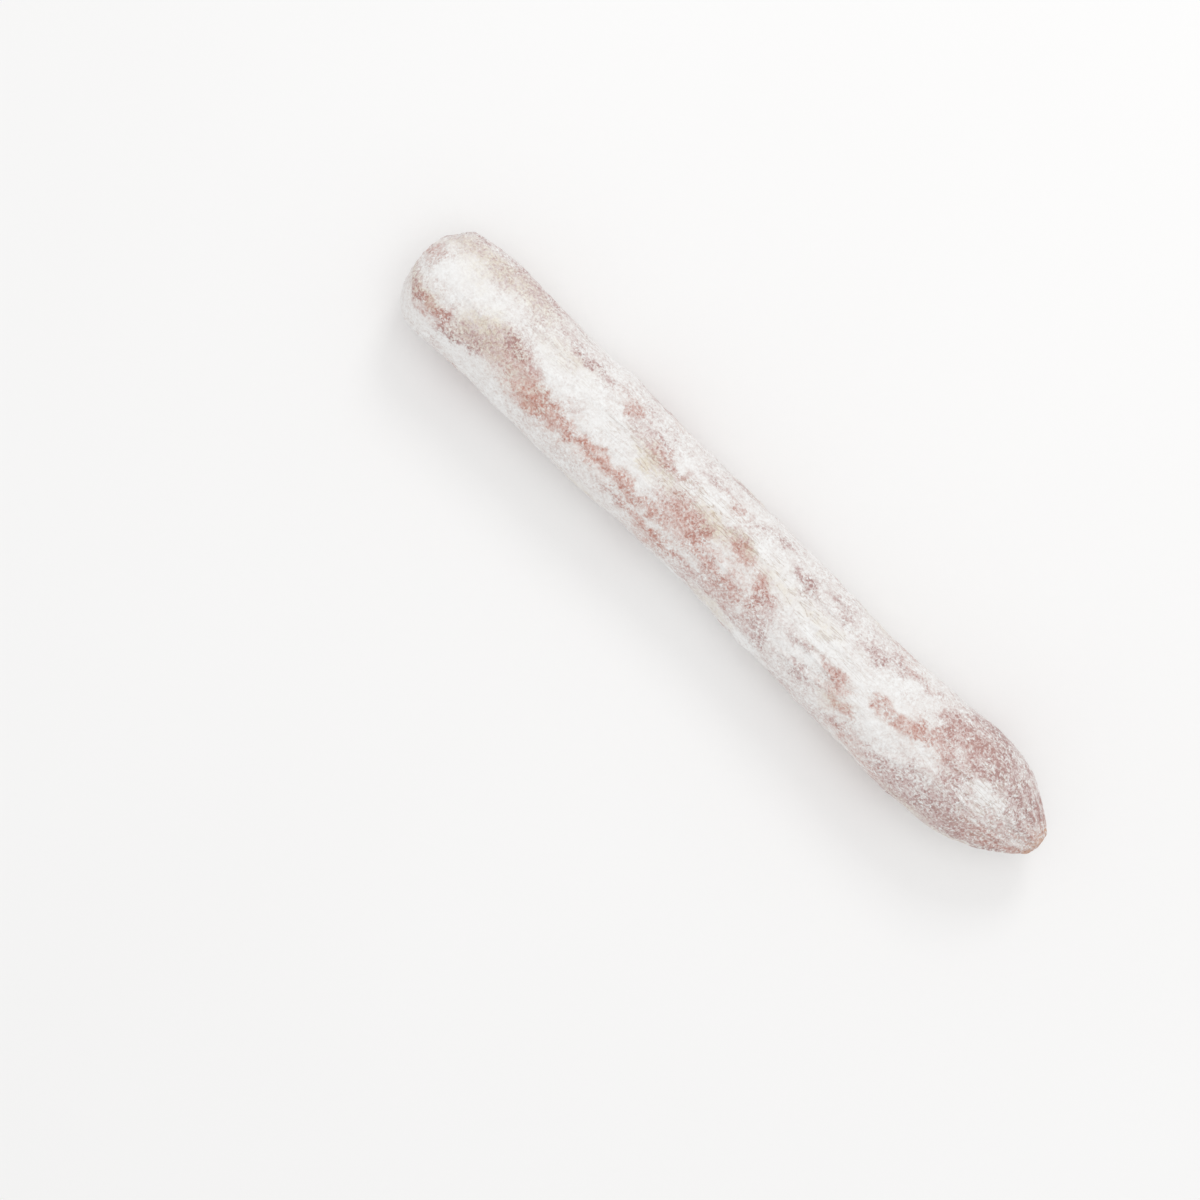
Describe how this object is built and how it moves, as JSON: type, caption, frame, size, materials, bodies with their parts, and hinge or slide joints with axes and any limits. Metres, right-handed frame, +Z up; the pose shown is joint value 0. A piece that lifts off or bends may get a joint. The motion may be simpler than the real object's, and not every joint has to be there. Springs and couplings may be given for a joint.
{
  "type": "cured sausage",
  "caption": "Long dry-cured sausage lying on its side, blunt at one end and gathered to a small tied stub at the other, with powdery white mould over a wrinkled red-brown casing.",
  "frame": {"origin": "under the middle of the sausage, on the surface that it rests on", "axes": "+X along the sausage from the blunt end to the tied end, +Y across it, +Z up"},
  "size_m": [0.3, 0.0448, 0.0383],
  "materials": {
    "bloomed_casing": "matt, powdery"
  },
  "bodies": {
    "root": {"cured_sausage": "bloomed_casing"}
  },
  "joints": []
}
